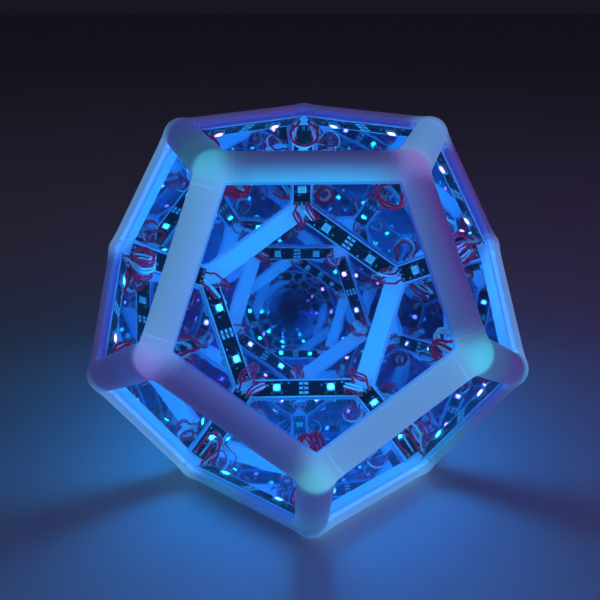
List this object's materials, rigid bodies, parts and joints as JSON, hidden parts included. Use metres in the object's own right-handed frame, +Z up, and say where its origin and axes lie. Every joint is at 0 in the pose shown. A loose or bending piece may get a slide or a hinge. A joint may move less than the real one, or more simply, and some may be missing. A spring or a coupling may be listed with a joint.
{
  "type": "infinity mirror dodecahedron lamp",
  "caption": "Table lamp shaped like a regular dodecahedron: a translucent frame of beams and corners holding one-way mirror panes, with LED strips inside.",
  "frame": {"origin": "centre of the footprint, on the surface that the lamp stands on", "axes": "+Z up; -Y is the front, the side on which an upright pentagonal face points its lowest corner down at the middle; +X to the right seen from the front"},
  "size_m": [0.205, 0.2156, 0.1768],
  "materials": {
    "frame": "translucent white printed plastic, satin, with fine layer lines",
    "pane": "clear acrylic with a one-way mirror film on its inner face",
    "strip": "black flexible circuit board, satin",
    "led": "white LED packages with lit lenses",
    "pad": "tinned copper solder pads",
    "wire_red": "glossy red wire insulation",
    "wire_pale": "glossy pale wire insulation",
    "inlet": "matt black moulded plastic"
  },
  "bodies": {
    "root": {"corner_top_0": "frame", "corner_top_1": "frame", "corner_top_2": "frame", "corner_top_3": "frame", "corner_top_4": "frame", "corner_upper_0": "frame", "corner_upper_1": "frame", "corner_upper_2": "frame", "corner_upper_3": "frame", "corner_upper_4": "frame", "corner_lower_0": "frame", "corner_lower_1": "frame", "corner_lower_2": "frame", "corner_lower_3": "frame", "corner_lower_4": "frame", "beam_top_0": "frame", "beam_upper_0": "frame", "beam_zigzag_down_0": "frame", "beam_zigzag_up_0": "frame", "beam_lower_0": "frame", "base_segment_0": "frame", "beam_top_1": "frame", "beam_upper_1": "frame", "beam_zigzag_down_1": "frame", "beam_zigzag_up_1": "frame", "beam_lower_1": "frame", "base_segment_1": "frame", "beam_top_2": "frame", "beam_upper_2": "frame", "beam_zigzag_down_2": "frame", "beam_zigzag_up_2": "frame", "beam_lower_2": "frame", "base_segment_2": "frame", "beam_top_3": "frame", "beam_upper_3": "frame", "beam_zigzag_down_3": "frame", "beam_zigzag_up_3": "frame", "beam_lower_3": "frame", "base_segment_3": "frame", "beam_top_4": "frame", "beam_upper_4": "frame", "beam_zigzag_down_4": "frame", "beam_zigzag_up_4": "frame", "beam_lower_4": "frame", "base_segment_4": "frame", "pane_top": "pane", "pane_base": "pane", "pane_upper_0": "pane", "pane_lower_0": "pane", "pane_upper_1": "pane", "pane_lower_1": "pane", "pane_upper_2": "pane", "pane_lower_2": "pane", "pane_upper_3": "pane", "pane_lower_3": "pane", "pane_upper_4": "pane", "pane_lower_4": "pane", "led_chain_lower": "strip", "led_chain_upper": "strip", "power_inlet": "inlet"}
  },
  "joints": []
}
